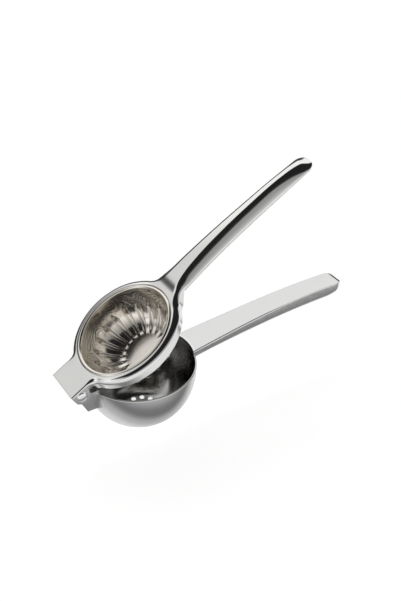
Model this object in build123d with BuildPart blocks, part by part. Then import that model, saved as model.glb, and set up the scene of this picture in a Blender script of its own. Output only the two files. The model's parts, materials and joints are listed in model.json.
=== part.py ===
from build123d import *
from math import acos, atan2, cos, hypot, radians, sin, sqrt
import os

# Citrus press juicer: a bowl arm and a press arm on one riveted hinge. Millimetres, +Z up.
# The origin is the centre of the bowl's flat bottom. +X points from the hinge to the handles, and the
# hinge axis lies along Y. Each arm is drawn in its own plane, whose origin is on the hinge axis:
# "along" is the distance from the hinge axis along the arm, and heights are above the hinge axis.

# --- driving dimensions: bowl -------------------------------------------------------------------
bowl_inner_radius = 35.0  # at the rim
bowl_wall = 1.2
bowl_depth = 37.6  # outside, from the flat bottom to the rim
bowl_base_radius = 9.0  # flat bottom
rim_rounding = 0.4
strainer_hole_radius = 1.6
strainer_ring_radii = (5.4, 10.8)
strainer_ring_counts = (6, 12)

# --- hinge --------------------------------------------------------------------------------------
hinge_reach = 8.5  # from the bowl's wall out to the hinge axis
hinge_above_rim = 2.8
open_angle = 31.0  # at rest, from the ring lying parallel to the bowl's rim
rivet_radius = 1.8
rivet_clearance = 0.05  # running clearance in the lug
rivet_head_radius = 3.2
rivet_head_height = 1.5
rivet_head_edge = 0.3  # straight edge of each domed head
rivet_cap_bore_depth = 0.8
washer_thickness = 0.3
washer_radius = 2.9
knuckle_radius = 3.1
lug_side_clearance = 0.05  # between the lug, a washer and an ear
lug_top = -1.2
lug_bottom = -14.4
lug_toe = 3.4  # along, the lower corner of the lug's slanting end
lug_flare_radius = 4.5  # where the lug's sides run into the bowl
lug_overlap = 11.0  # the lug's block runs this far into the bowl before it is trimmed to the wall

# --- press arm ----------------------------------------------------------------------------------
plate_half_width = 13.6
plate_thickness = 1.2
plate_beyond_hinge = 5.3
ear_thickness = 1.4
ear_radius = 5.6
ear_reach = 6.2  # along, the back of the ears
ear_back_angle = radians(35)  # where the ear's round end meets its back
frame_top = 4.7
skirt_bottom = -2.0
skirt_wall = 2.2
frame_edge_radius = 3.6  # outer top edge of the ring and the handle
plate_flare_radius = 8.0  # plan fillet from the plate to the ring
neck_flare_radius = 13.0  # plan fillet from the ring to the handle
ring_overhang = 0.5  # the ring's wall stands this far outside the bowl's
ring_width = 4.1
lug_notch_top = 1.0  # the skirt is cut away over the lug below this height
lug_notch_depth = 4.0  # along, into the ring
lug_notch_clearance = 3.2  # beyond the lug's sides

cup_seat_clearance = 0.1
cup_ledge_clearance = 0.2  # between the ledge's bore and the cup's wall
cup_ledge_top = 1.4
cup_ledge_thickness = 1.2
squeeze_gap = 3.9  # between the cup and the bowl's wall, for the fruit's peel
cup_lip_top = 5.3
cup_lip_rounding = 1.0
cup_lip_rounding_limit = 0.45  # share of the lip's width
cup_depth = 25.0  # inside, below the top of the frame
cup_floor_radius = 12.0
cup_wall = 1.1
flute_count = 20
flute_start_depth = 11.5  # below the top of the frame
flute_rib_angle = 7.0
flute_groove_angle = 6.0
flute_height = 0.8

# --- handles ------------------------------------------------------------------------------------
handle_length = 122.0  # from the root of the handles' curves to their tips
handle_mid_share = 59 / 122  # where the handles are thickest, as a share of their length
handle_tip_run = 12.0  # straight end
handle_root_half_width = 11.2
handle_root_inset = 3.7  # the handles' curves begin this far inside the bowl's rim
handle_mid_half_width = 8.6
handle_end_half_width = 7.6
handle_root_taper = 0.05  # sideways per unit along
handle_wall = 1.2
cover_thickness = 1.0
handle_bulkhead = 6.0  # solid neck between the bowl or ring and the hollow
handle_tip_solid = 10.0

upper_neck_crest = 8.2
upper_mid_crest = 9.3
upper_end_crest = 7.2
upper_tip_crest = 4.6
upper_root_under = 2.6
upper_mid_under = 3.8
upper_end_under = 2.3
upper_tip_radius = 6.5
upper_tip_slope = 0.5

lower_root_top = -1.6
lower_mid_top = 6.7
lower_end_top = 9.0
lower_tip_top = 8.7
lower_root_depth = 6.8
lower_mid_depth = 8.4
lower_end_depth = 9.2
lower_edge_radius = 3.0
lower_tip_radius = 4.0

# --- derived ------------------------------------------------------------------------------------
bowl_outer_radius = bowl_inner_radius + bowl_wall
hinge_height = bowl_depth + hinge_above_rim
hinge_to_bowl_axis = bowl_outer_radius + hinge_reach
ring_outer_radius = bowl_outer_radius + ring_overhang
cup_seat_radius = ring_outer_radius - ring_width
cup_inner_radius = bowl_inner_radius - squeeze_gap - cup_wall
cup_ledge_bore_radius = cup_inner_radius + cup_wall + cup_ledge_clearance
cup_lip_width = cup_seat_radius - cup_seat_clearance - cup_inner_radius
ring_wall_along = hinge_to_bowl_axis + ring_outer_radius
ear_inner = plate_half_width - ear_thickness
lug_half_width = ear_inner - washer_thickness - lug_side_clearance
plate_underside = frame_top - plate_thickness
rivet_end = plate_half_width + rivet_cap_bore_depth
lug_notch_reach = hinge_to_bowl_axis - ring_outer_radius + lug_notch_depth
handle_root = hinge_to_bowl_axis + bowl_inner_radius - handle_root_inset
handle_tip = handle_root + handle_length
handle_mid = handle_root + handle_mid_share * handle_length
handle_end = handle_tip - handle_tip_run
lean = radians(open_angle)
hinge_point = (-hinge_to_bowl_axis, 0, hinge_height)
hollow_start = ring_wall_along + handle_bulkhead
hollow_end = handle_tip - handle_tip_solid
lug_inside = hinge_to_bowl_axis - bowl_inner_radius + lug_overlap
toe_distance = sqrt(lug_toe**2 + lug_bottom**2)
toe_angle = atan2(lug_bottom, lug_toe) - acos(knuckle_radius / toe_distance)
tangent_to_knuckle = (knuckle_radius * cos(toe_angle), knuckle_radius * sin(toe_angle))
reach = 2 * handle_root_half_width  # taller and wider than any handle section
margin = 1.0  # cutting shapes run this far past what they cut
tolerance = 0.05  # of a measured position

bowl_arm = Plane(origin=hinge_point, x_dir=(1, 0, 0), z_dir=(0, 0, 1))
press_arm = Plane(origin=hinge_point, x_dir=(cos(lean), 0, sin(lean)), z_dir=(-sin(lean), 0, cos(lean)))


def side(arm, offset=0.0):
    """Plane with local x along an arm and local y up from it; its normal is -Y."""
    return Plane(origin=arm.from_local_coords((0, offset, 0)), x_dir=arm.x_dir, z_dir=-arm.y_dir)


def level(arm, height, along=0.0):
    """Plane parallel to an arm, at a height above the hinge axis."""
    return Plane(origin=arm.from_local_coords((along, 0, height)), x_dir=arm.x_dir, z_dir=arm.z_dir)


def up_from(arm):
    return Axis(arm.origin, arm.z_dir)


def on_ring(corner):
    """True for a corner of the frame's plan where the plate or the handle meets the ring."""
    return abs(hypot(corner.X - hinge_to_bowl_axis, corner.Y) - ring_outer_radius) < tolerance


def outer_top_edge(edge):
    """True for the upper edge of the ring and the handle, but not of the hinge plate."""
    middle = press_arm.to_local_coords(edge.center())
    on_top = middle.Z > min(frame_top, upper_tip_crest) - tolerance
    across_tip = middle.X > handle_end and abs(middle.Y) < tolerance
    return on_top and (edge.geom_type != GeomType.LINE or across_tip)


def save(name, label):
    name.part.label = label
    export_step(name.part, f"parts/{label}.step")


def handle_plan(arm, inset, tip_radius):
    """A handle seen from above: it tapers in a curve and ends in a rounded tip."""
    with BuildSketch(arm) as plan:
        with BuildLine():
            flank = Spline(
                (handle_root, handle_root_half_width - inset),
                (handle_mid, handle_mid_half_width - inset),
                (handle_end, handle_end_half_width - inset),
                tangents=[(1, -handle_root_taper), (1, 0)],
            )
            Polyline(
                flank @ 1,
                (handle_tip - inset, handle_end_half_width - inset),
                (handle_tip - inset, 0),
                (handle_root, 0),
                flank @ 0,
            )
        make_face()
        mirror(about=Plane.XZ)
        fillet(plan.vertices().sort_by(Axis.X)[-2:], tip_radius - inset)
    return plan


def band(arm, bottom, top, inset, tip_radius, top_slopes=None):
    """A slab of a handle's plan between two curves, each a list of (along, height) points."""
    with BuildPart() as slab:
        with BuildSketch(side(arm, reach)):
            with BuildLine():
                Spline(*bottom)
                Spline(*top, tangents=top_slopes)
                Line(bottom[-1], top[-1])
                Line(top[0], bottom[0])
            make_face()
        extrude(amount=2 * reach)
        plan = handle_plan(arm, inset, tip_radius).sketch
        extrude(plan, amount=reach, both=True, mode=Mode.INTERSECT)
    return slab.part


os.makedirs("parts", exist_ok=True)

# --- bowl: drawn from sheet, with strainer holes in its bottom ----------------------------------
with BuildPart() as bowl_form:
    with BuildSketch(Plane.XZ):
        with BuildLine():
            outer = EllipticalCenterArc(
                (bowl_base_radius, bowl_depth),
                bowl_outer_radius - bowl_base_radius,
                bowl_depth,
                start_angle=270,
                arc_size=90,
            )
            Polyline(outer @ 1, (0, bowl_depth), (0, 0), outer @ 0)
        make_face()
    revolve(axis=Axis.Z)

with BuildPart() as bowl:
    add(bowl_form)
    with BuildSketch(Plane.XZ):
        with BuildLine():
            inner = EllipticalCenterArc(
                (bowl_base_radius, bowl_depth),
                bowl_inner_radius - bowl_base_radius,
                bowl_depth - bowl_wall,
                start_angle=270,
                arc_size=90,
            )
            Polyline(inner @ 1, (0, bowl_depth), (0, bowl_wall), inner @ 0)
        make_face()
    revolve(axis=Axis.Z, mode=Mode.SUBTRACT)
    fillet(bowl.edges().group_by(Axis.Z)[-1], rim_rounding)
    for ring_radius, count in zip(strainer_ring_radii, strainer_ring_counts):
        with PolarLocations(ring_radius, count):
            Cylinder(strainer_hole_radius, bowl_depth / 2, mode=Mode.SUBTRACT)
save(bowl, "bowl")

# --- hinge lug: a block with a knuckle, welded to the bowl --------------------------------------
with BuildPart() as hinge_lug:
    with BuildSketch(side(bowl_arm)):
        with BuildLine():
            # the slanting end is tangent to the knuckle and runs down to the toe
            end = Line((lug_toe, lug_bottom), tangent_to_knuckle)
            Polyline(end @ 1, (0, 0), (0, lug_top), (lug_inside, lug_top), (lug_inside, lug_bottom), end @ 0)
        make_face()
        Circle(knuckle_radius)
    extrude(amount=lug_half_width, both=True)
    add(bowl_form)
    seams = [edge for edge in hinge_lug.edges().filter_by(GeomType.BSPLINE) if abs(edge.center().Y) > margin]
    fillet(seams, lug_flare_radius)
    add(bowl_form, mode=Mode.SUBTRACT)
    with Locations((0, 0, bowl_depth)):
        Cylinder(
            bowl_inner_radius,
            hinge_above_rim,
            align=(Align.CENTER, Align.CENTER, Align.MIN),
            mode=Mode.SUBTRACT,
        )
    with Locations(side(bowl_arm)):
        Cylinder(rivet_radius + rivet_clearance, 4 * lug_half_width, mode=Mode.SUBTRACT)
save(hinge_lug, "hinge_lug")

# --- lower handle: a trough welded to the bowl, closed by a flat cover --------------------------
lower_top = [
    (handle_root, lower_root_top),
    (handle_mid, lower_mid_top),
    (handle_end, lower_end_top),
    (handle_tip, lower_tip_top),
]
lower_depths = (lower_root_depth, lower_mid_depth, lower_end_depth, lower_end_depth)
lower_bottom = [(along, top - depth) for (along, top), depth in zip(lower_top, lower_depths)]
lower_seam = [(along, top - cover_thickness) for along, top in lower_top]
lower_wall = [(along, bottom + handle_wall) for along, bottom in lower_bottom]

with BuildPart() as lower_cavity:
    add(band(bowl_arm, lower_wall, lower_top, handle_wall, lower_tip_radius))
    with Locations(level(bowl_arm, 0, (hollow_start + hollow_end) / 2)):
        Box(hollow_end - hollow_start, 2 * reach, 2 * reach, mode=Mode.INTERSECT)

with BuildPart() as lower_handle_shell:
    add(band(bowl_arm, lower_bottom, lower_seam, 0, lower_tip_radius))
    belly = lower_handle_shell.faces().sort_by(SortBy.AREA)[-2:].sort_by(Axis.Z)[0]
    fillet(belly.edges().filter_by(lambda edge: edge.center().X > 0), lower_edge_radius)
    add(lower_cavity, mode=Mode.SUBTRACT)
    add(bowl_form, mode=Mode.SUBTRACT)
    with Locations((0, 0, bowl_depth)):
        Cylinder(bowl_inner_radius, reach, mode=Mode.SUBTRACT)
save(lower_handle_shell, "lower_handle_shell")

with BuildPart() as lower_handle_cover:
    add(band(bowl_arm, lower_seam, lower_top, 0, lower_tip_radius))
    add(bowl_form, mode=Mode.SUBTRACT)
    with Locations((0, 0, bowl_depth)):
        Cylinder(bowl_inner_radius, reach, mode=Mode.SUBTRACT)
save(lower_handle_cover, "lower_handle_cover")

# --- press frame: plate with two ears, ring with a skirt, and the upper handle's shell ----------
neck_along = ring_wall_along + handle_bulkhead
upper_crest = [
    (ring_wall_along - handle_bulkhead, frame_top),
    (neck_along, upper_neck_crest),
    (handle_mid, upper_mid_crest),
    (handle_end, upper_end_crest),
    (handle_tip, upper_tip_crest),
]
upper_crest_slopes = [(1, 0), (1, -upper_tip_slope)]
upper_under = [
    (neck_along, upper_root_under),
    (handle_mid, upper_mid_under),
    (handle_end, upper_end_under),
    (handle_tip, upper_end_under),
]
upper_seam = [(along, under + cover_thickness) for along, under in upper_under]
upper_ceiling = [(along, crest - handle_wall) for along, crest in upper_crest]

with BuildPart() as upper_cavity:
    add(band(press_arm, upper_under, upper_ceiling, handle_wall, upper_tip_radius, upper_crest_slopes))
    with Locations(level(press_arm, 0, (hollow_start + hollow_end) / 2)):
        Box(hollow_end - hollow_start, 2 * reach, 2 * reach, mode=Mode.INTERSECT)
    ceiling = upper_cavity.faces().sort_by(SortBy.AREA)[-2:].sort_by(up_from(press_arm))[-1]
    fillet(ceiling.edges().filter_by(lambda edge: edge.length > 2 * reach), frame_edge_radius - handle_wall)

with BuildPart() as upper_handle_cover:
    add(band(press_arm, upper_under, upper_seam, 0, upper_tip_radius))
save(upper_handle_cover, "upper_handle_cover")

with BuildPart() as press_frame:
    with BuildSketch(side(press_arm, ring_outer_radius + margin)):
        with BuildLine():
            crest = Spline(*upper_crest, tangents=upper_crest_slopes)
            under = Spline(*upper_under[::-1])
            Polyline(
                under @ 1,
                (ring_wall_along, skirt_bottom),
                (-plate_beyond_hinge, skirt_bottom),
                (-plate_beyond_hinge, frame_top),
                crest @ 0,
            )
            Line(crest @ 1, under @ 0)
        make_face()
    extrude(amount=2 * (ring_outer_radius + margin))
    with BuildSketch(level(press_arm, -reach)) as frame_plan:
        with Locations((hinge_to_bowl_axis, 0)):
            Circle(ring_outer_radius)
        with Locations((-plate_beyond_hinge, 0)):
            Rectangle(hinge_to_bowl_axis, 2 * plate_half_width, align=(Align.MIN, Align.CENTER))
        add(handle_plan(press_arm, 0, upper_tip_radius).sketch_local)
        corners = frame_plan.vertices().filter_by(on_ring)
        fillet(corners.sort_by(Axis.X)[:2], plate_flare_radius)
        corners = frame_plan.vertices().filter_by(on_ring)
        fillet(corners.sort_by(Axis.X)[-2:], neck_flare_radius)
    extrude(amount=2 * reach, mode=Mode.INTERSECT)
    fillet(press_frame.edges().filter_by(outer_top_edge), frame_edge_radius)

    # room under the plate for the knuckle, and in the skirt for the lug
    with Locations(level(press_arm, plate_underside, (ear_reach - plate_beyond_hinge - margin) / 2)):
        Box(
            ear_reach + plate_beyond_hinge + margin,
            2 * (plate_half_width + margin),
            reach,
            align=(Align.CENTER, Align.CENTER, Align.MAX),
            mode=Mode.SUBTRACT,
        )
    with Locations(level(press_arm, lug_notch_top, (ear_reach + lug_notch_reach) / 2)):
        Box(
            lug_notch_reach - ear_reach,
            2 * (lug_half_width + lug_notch_clearance),
            reach,
            align=(Align.CENTER, Align.CENTER, Align.MAX),
            mode=Mode.SUBTRACT,
        )

    # seat, ledge and skirt of the ring
    with Locations(level(press_arm, cup_ledge_top, hinge_to_bowl_axis)):
        Cylinder(cup_seat_radius, reach, align=(Align.CENTER, Align.CENTER, Align.MIN), mode=Mode.SUBTRACT)
        Cylinder(cup_ledge_bore_radius, 2 * reach, mode=Mode.SUBTRACT)
    with Locations(level(press_arm, cup_ledge_top - cup_ledge_thickness, hinge_to_bowl_axis)):
        Cylinder(
            ring_outer_radius - skirt_wall,
            reach,
            align=(Align.CENTER, Align.CENTER, Align.MAX),
            mode=Mode.SUBTRACT,
        )

    # two ears folded down at the plate's sides, riveted through
    with BuildSketch(side(press_arm, -plate_half_width), side(press_arm, ear_inner)):
        Circle(ear_radius)
        with BuildLine():
            Polyline(
                (-plate_beyond_hinge, plate_underside + plate_thickness / 2),
                (-plate_beyond_hinge, 0),
                (ear_radius * cos(ear_back_angle), -ear_radius * sin(ear_back_angle)),
                (ear_reach, lug_notch_top),
                (ear_reach, plate_underside + plate_thickness / 2),
                close=True,
            )
        make_face()
    extrude(amount=-ear_thickness)
    with Locations(side(press_arm)):
        Cylinder(rivet_radius, 4 * plate_half_width, mode=Mode.SUBTRACT)
    add(upper_handle_cover, mode=Mode.SUBTRACT)
    add(upper_cavity, mode=Mode.SUBTRACT)
save(press_frame, "press_frame")

# --- press cup: pressed sheet with a rounded lip and flutes, drawn about its own axis ------------
def cup_outline(inset):
    """Quarter ellipse of the cup's wall, inset from its outside."""
    return EllipticalCenterArc(
        (cup_floor_radius, frame_top),
        cup_inner_radius + cup_wall - cup_floor_radius - inset,
        cup_depth + cup_wall - inset,
        start_angle=270,
        arc_size=90,
    )


def flute(inset_out, inset_in, angle):
    """One flute: a sector of the wall between two depths, from the floor to the start of the flutes."""
    with BuildPart() as sector:
        with BuildSketch(Plane.XZ.rotated((0, 0, -angle / 2))):
            with BuildLine():
                outside = cup_outline(inset_out)
                inside = cup_outline(inset_in)
                Line(outside @ 0, inside @ 0)
                Line(outside @ 1, inside @ 1)
            make_face()
            with Locations((0, frame_top - flute_start_depth)):
                Rectangle(
                    4 * cup_inner_radius,
                    cup_depth,
                    align=(Align.CENTER, Align.MIN),
                    mode=Mode.SUBTRACT,
                )
        revolve(axis=Axis.Z, revolution_arc=angle)
    return sector.part


flute_rib = flute(-flute_height, cup_wall / 2, flute_rib_angle)
flute_groove = flute(cup_wall - flute_height / 2, cup_wall + flute_height, flute_groove_angle)

with BuildPart() as cup_body:
    with BuildSketch(Plane.XZ):
        with BuildLine():
            outside = cup_outline(0)
            inside = cup_outline(cup_wall)
            Line(outside @ 1, inside @ 1)
            Polyline(
                outside @ 0,
                (0, frame_top - cup_depth - cup_wall),
                (0, frame_top - cup_depth),
                inside @ 0,
            )
        make_face()
        with BuildLine():
            Polyline(
                (cup_inner_radius, cup_ledge_top),
                (cup_seat_radius - cup_seat_clearance, cup_ledge_top),
                (cup_seat_radius - cup_seat_clearance, cup_lip_top),
                (cup_inner_radius, cup_lip_top),
                close=True,
            )
        make_face()
    revolve(axis=Axis.Z)
    lip_rounding = min(cup_lip_rounding, cup_lip_rounding_limit * cup_lip_width)
    fillet(cup_body.edges().group_by(Axis.Z)[-1], lip_rounding)
    with PolarLocations(0, flute_count):
        add(flute_rib)
    with PolarLocations(0, flute_count):
        add(flute_groove, mode=Mode.SUBTRACT)

with BuildPart() as press_cup:
    with Locations(level(press_arm, 0, hinge_to_bowl_axis)):
        add(cup_body)
save(press_cup, "press_cup")

# --- rivet, its far cap and the washers, each drawn about the hinge axis ------------------------
with BuildPart() as hinge_rivet:
    with BuildSketch(side(press_arm, rivet_end)):
        Circle(rivet_radius)
    extrude(amount=rivet_end + plate_half_width)
    with BuildSketch(side(press_arm, -plate_half_width)):
        Circle(rivet_head_radius)
    extrude(amount=rivet_head_height)
    fillet(hinge_rivet.edges().sort_by(Axis.Y)[0], rivet_head_height - rivet_head_edge)
save(hinge_rivet, "hinge_rivet")

with BuildPart() as rivet_cap:
    with BuildSketch(side(press_arm, plate_half_width)):
        Circle(rivet_head_radius)
    extrude(amount=-rivet_head_height)
    fillet(rivet_cap.edges().sort_by(Axis.Y)[-1], rivet_head_height - rivet_head_edge)
    with BuildSketch(side(press_arm, plate_half_width)):
        Circle(rivet_radius)
    extrude(amount=-rivet_cap_bore_depth, mode=Mode.SUBTRACT)
save(rivet_cap, "rivet_cap")

for label, offset in (("washer_near", washer_thickness - ear_inner), ("washer_far", ear_inner)):
    with BuildPart() as washer:
        with BuildSketch(side(press_arm, offset)):
            Circle(washer_radius)
            Circle(rivet_radius, mode=Mode.SUBTRACT)
        extrude(amount=washer_thickness)
    save(washer, label)
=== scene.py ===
import json
from math import acos, atan2, cos, hypot, pi, radians, sin, sqrt, tan

import bmesh
import bpy
import numpy as np
from mathutils import Matrix, Vector


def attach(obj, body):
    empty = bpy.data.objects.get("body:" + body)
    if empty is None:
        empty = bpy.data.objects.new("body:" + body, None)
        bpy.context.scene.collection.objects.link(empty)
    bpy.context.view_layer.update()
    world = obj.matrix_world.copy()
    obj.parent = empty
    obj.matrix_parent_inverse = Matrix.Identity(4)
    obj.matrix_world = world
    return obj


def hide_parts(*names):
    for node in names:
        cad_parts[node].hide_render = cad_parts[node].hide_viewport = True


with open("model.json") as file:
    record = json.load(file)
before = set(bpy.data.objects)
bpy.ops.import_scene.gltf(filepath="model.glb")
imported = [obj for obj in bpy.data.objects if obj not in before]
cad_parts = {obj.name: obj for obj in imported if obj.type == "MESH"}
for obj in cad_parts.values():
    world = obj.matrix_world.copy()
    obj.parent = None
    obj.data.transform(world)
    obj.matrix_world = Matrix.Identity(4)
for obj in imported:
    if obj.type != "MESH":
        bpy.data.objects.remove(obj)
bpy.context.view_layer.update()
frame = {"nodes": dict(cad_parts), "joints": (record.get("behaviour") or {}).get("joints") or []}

# A hand press for citrus fruit. Sizes are in millimetres, and each arm is drawn in its own frame: the origin
# is on the hinge axis, x runs along the arm, y along the hinge axis and z up from the arm.

MM = 0.001
HINGE = Vector(frame["joints"][0]["pos_m"])
OPEN_ANGLE = radians(31)  # of the press arm at rest
LEAN = {"bowl_arm": 0.0, "press_arm": OPEN_ANGLE}
MERGE_DISTANCE = 0.002
LEAST_EDGE = 0.001
SHARP_ANGLE = 32
CUP_SHARP_ANGLE = 50

# --- sizes ------------------------------------------------------------------------------------------
BOWL_INNER_RADIUS = 35.0
BOWL_WALL = 1.2
BOWL_OUTER_RADIUS = BOWL_INNER_RADIUS + BOWL_WALL
BOWL_DEPTH = 37.6
BOWL_BASE_RADIUS = 9.0
BOWL_AXIS = -HINGE.x / MM
STRAINER_RINGS = ((5.4, 6), (10.8, 12))  # radius, number of holes
STRAINER_HOLE_RADIUS = 1.6
STRAINER_HOLE_SIDES = 32
INSIDE_FACING = -0.2  # cosine below which a face of the bowl looks inwards

RING_OUTER_RADIUS = 36.68
RING_BORE_RADIUS = 32.6
RING_TOP = 5.0
RING_EDGE_RADIUS = 4.1
RING_EDGE_DROP = 0.8  # of its rounding, as a share of its radius
RING_EDGE_GROWTH = 0.2  # at most, towards the handle
SKIRT_BOTTOM = -2.0
SKIRT_INNER_RADIUS = 34.5
LEDGE_RADIUS = 31.3
LEDGE_UNDER = 0.2
LEDGE_TOP = 1.4
BORE_EDGE_RADIUS = 0.35
PLATE_END = -5.3
PLATE_TOP = 4.7
PLATE_UNDER = 3.5
PLATE_HALF_WIDTH = 13.6
PLATE_CORNER_RADIUS = 0.8
PLATE_FLARE_RADIUS = 8.0
PLATE_EDGE_RADII = (0.3, 1.2)  # at its end and along its sides
PLATE_TO_RING = (6.0, 14.0)  # along, where the top rises from the plate to the ring
PLATE_EDGE_TO_RING = (5.5, 13.0)  # along, where the edge's rounding grows
EAR_THICKNESS = 1.4
EAR_RADIUS = 5.6
EAR_REACH = 6.2
EAR_SHOULDER = 1.0
EAR_BACK_ANGLE = radians(-35)
EAR_CLEARANCE = 0.05
EAR_MIDDLE = (0.4, 0.2)
EAR_EDGE_EASE = 0.2
NOTCH_END = 10.2
NECK_FLARE_RADIUS = 13.0
NECK_SEARCH = (80.0, 95.0)  # along, around the end of the neck's flare
NECK_SLOPE_AT = 88.0
NECK_START = 80.0  # along, where the ring's rays hand over to the handle's cross lines
CREST_START = 70.0  # along, where the handle's own heights begin
HANDLE_EDGE_START = 76.0
SECTION_CHANGE = (82.0, 94.0)  # along, where a round edge becomes the handle's section
SKIRT_RUN_OUT = (81.4, 87.4)  # along, where the skirt rises into the handle

HANDLE_TIP = 198.0
HANDLE_END = 186.0
HANDLE_ROOT = 76.0
HANDLE_END_HALF_WIDTH = 7.6
HANDLE_WIDENING = 3.6
HANDLE_WIDENING_POWER = 1.55
COVER_THICKNESS = 1.0
COVER_GAP = 0.06
COVER_EDGE_RADIUS = 0.45
COVER_LEAST_THICKNESS = 0.04
UPPER_TIP_RADIUS = 6.5
SHOULDER_BEND = 1.7  # of the upper handle's section: higher is flatter-sided
SHOULDER_FOOT_POWER = 8
SHOULDER_FOOT_SHARE = 0.12
LOWER_TIP_RADIUS = 6.8
LOWER_TIP_SWEEP = 15.0
LOWER_TIP_RISE = 7.6
LOWER_END_ROUNDING = 4.0
LOWER_END_DROP = 2.4
LOWER_BELLY_RADIUS = 3.5
LOWER_BELLY_SHARE = 0.9  # of its radius, how high its rounding reaches
LOWER_EDGE_BEVEL = (0.75, 0.11)  # radius and width
LOWER_BEVEL_ANGLE = radians(75)
LOWER_EDGE_SOFTENING = (125.0, 158.0)  # along, where the bevel fades
LOWER_EDGE_SOFTENED = 0.8
LOWER_SIDE_INSET = 0.16  # of the trough under the cover
LOWER_SIDE_FLUSH = (110.0, 165.0)
LOWER_ROOT_GAP = 0.05
LOWER_ROOT_STRAIGHTENING = 16.0
LOWER_ROOT_ALONG = 76.0
LOWER_CREST_ALONG = 182.0
LOWER_CREST_TOP = 9.1
LOWER_ROOT_FALL = 9.3  # from the crest down to the root
LOWER_ROOT_LEAN = 0.55  # how much the arch straightens towards the root

CUP_INNER_RADIUS = 30.0
CUP_OUTER_RADIUS = 32.5
CUP_TOP = 4.7
CUP_LIP_TOP = 5.3
CUP_DEPTH = 25.0
CUP_FLOOR_RADIUS = 12.0
CUP_WALL = 1.1
FLUTE_COUNT = 20
FLUTE_START = 10.5  # below the cup's top
FLUTE_HEIGHT = 1.5
FLUTE_WIDTH = 0.55
FLUTE_FADE_IN = 5.5
FLUTE_FADE_OUT = (-0.6, 4.0)  # out from the floor's edge
# painted reflection: dark wavy lines in the colour of the cup's upper wall stand for the flutes' reflections
REFLECTION_LINE_STEP = 1.7
REFLECTION_LINE_SWING = 22.0  # how far noise bends a line up or down
PAINTED_REFLECTION_TONE = (0.40, 0.37, 0.33)
REFLECTION_LINE_EDGES = (0.1, 0.75)  # of the wave, from no line to a full line
REFLECTION_LINES_BOTTOM = (CUP_TOP - FLUTE_START - 3.5, CUP_TOP - FLUTE_START + 1.5)
REFLECTION_LINES_TOP = (CUP_TOP - 2.2, CUP_TOP - 0.8)

RIVET_RADIUS = 1.8
RIVET_HEAD_RADIUS = 3.2
RIVET_HEAD_HEIGHT = 1.5
RIVET_HEAD_EDGE = 0.35


# --- small maths ------------------------------------------------------------------------------------
def smooth_step(low, high, value):
    share = np.clip((np.asarray(value, float) - low) / (high - low), 0, 1)
    return share * share * (3 - 2 * share)


def curve_through(points):
    """A smooth function through a few (x, y) points, flat-sloped beyond them."""
    xs, ys = np.array(points, float).T
    slopes = np.gradient(ys, xs)

    def value(x):
        x = np.clip(np.asarray(x, float), xs[0], xs[-1])
        span = np.clip(np.searchsorted(xs, x) - 1, 0, len(xs) - 2)
        width = xs[span + 1] - xs[span]
        t = (x - xs[span]) / width
        return (
            (1 + 2 * t) * (1 - t) ** 2 * ys[span]
            + t * (1 - t) ** 2 * width * slopes[span]
            + t * t * (3 - 2 * t) * ys[span + 1]
            + t * t * (t - 1) * width * slopes[span + 1]
        )

    return value


def rounding(distance, radius, height):
    """How far a rounded edge drops at a distance from the outline."""
    inward = np.clip(1 - np.asarray(distance) / radius, 0, 1)
    return height * (1 - np.sqrt(1 - inward**2))


def shoulder(distance, radius, height):
    """How far a handle's section drops: a round crest, a slanting side and a steep foot."""
    inward = np.clip(1 - np.asarray(distance) / radius, 0, 1)
    slanting = (np.sqrt(1 + (SHOULDER_BEND * inward) ** 2) - 1) / (sqrt(1 + SHOULDER_BEND**2) - 1)
    foot = 1 - np.sqrt(1 - inward**SHOULDER_FOOT_POWER)
    return height * (slanting + (foot - slanting) * SHOULDER_FOOT_SHARE)


def eased_bevel(distance, radius, width):
    """Drop of an edge that turns through a small round into a steep bevel."""
    turn = LOWER_BEVEL_ANGLE
    into_round = np.clip((width + radius * sin(turn) - distance) / radius, 0, sin(turn))
    into_bevel = np.clip(width - distance, 0, width)
    return radius * (1 - np.sqrt(1 - into_round**2)) + into_bevel * tan(turn)


def crowded(count):
    """Shares from 0 to 1 that crowd towards 1."""
    return np.sin(np.linspace(0, pi / 2, count))


def across(half_count):
    """Shares from -1 to 1 that crowd towards both ends."""
    return np.sin(np.linspace(-pi / 2, pi / 2, 2 * half_count + 1))


def arc(centre, radius, start, stop, count):
    angles = np.linspace(start, stop, count)
    return [(centre[0] + radius * cos(a), centre[1] + radius * sin(a)) for a in angles]


# --- meshes -----------------------------------------------------------------------------------------
def to_row(points, body):
    """Points of an arm's frame, in millimetres, as points of the object's frame, in metres."""
    x, y, z = np.asarray(points, float).T * MM
    lean = LEAN[body]
    return np.stack([HINGE.x + x * cos(lean) - z * sin(lean), y, HINGE.z + x * sin(lean) + z * cos(lean)], 1)


class Shell:
    """Collects vertices and faces of one piece."""

    def __init__(self):
        self.points = []
        self.faces = []

    def add(self, points):
        first = len(self.points)
        self.points.extend(np.asarray(points, float).reshape(-1, 3).tolist())
        return first

    def grid(self, points, closed_rows=False):
        """Quads over a (rows, columns, 3) array."""
        rows, columns = points.shape[:2]
        first = self.add(points)
        for i in range(rows if closed_rows else rows - 1):
            for j in range(columns - 1):
                k, m = (i + 1) % rows, j + 1
                self.faces.append(tuple(first + a * columns + b for a, b in ((i, j), (k, j), (k, m), (i, m))))

    def polygon(self, points):
        first = self.add(points)
        self.faces.append(tuple(range(first, first + len(points))))


def finish_mesh(mesh, sharp_angle=SHARP_ANGLE):
    mesh.shade_smooth()
    mesh.set_sharp_from_angle(angle=radians(sharp_angle))


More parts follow.
